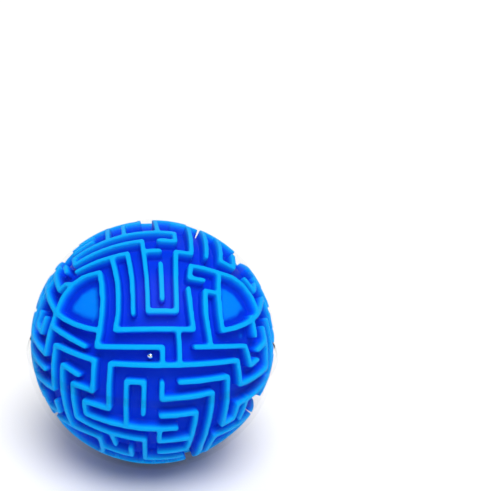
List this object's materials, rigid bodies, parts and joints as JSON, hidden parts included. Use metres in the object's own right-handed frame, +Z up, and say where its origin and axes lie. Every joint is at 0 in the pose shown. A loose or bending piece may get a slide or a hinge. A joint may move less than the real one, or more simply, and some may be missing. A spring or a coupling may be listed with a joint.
{
  "type": "maze ball puzzle",
  "caption": "Round labyrinth puzzle: a walled maze globe sealed inside a clear sphere, with a small steel ball that rolls along the channels.",
  "frame": {"origin": "centre of the sphere", "axes": "+Z up through the crown of the maze, -Y out through the front channel that holds the ball, +X to the right seen from the front"},
  "size_m": [0.075, 0.075, 0.075],
  "materials": {
    "clear_case": "gloss",
    "maze_blue": "satin",
    "ball_steel": "polished"
  },
  "bodies": {
    "globe": {"clear_top": "clear_case", "clear_bottom": "clear_case", "maze_top": "maze_blue", "maze_bottom": "maze_blue"},
    "ball": {"steel_ball": "ball_steel"}
  },
  "joints": [
    {"name": "ball_roll", "type": "hinge", "parent": "globe", "child": "ball", "pos_m": [0, 0, 0], "axis": [0, 0.3214, 0.9469], "range_deg": [-22.5, 2.2]}
  ]
}
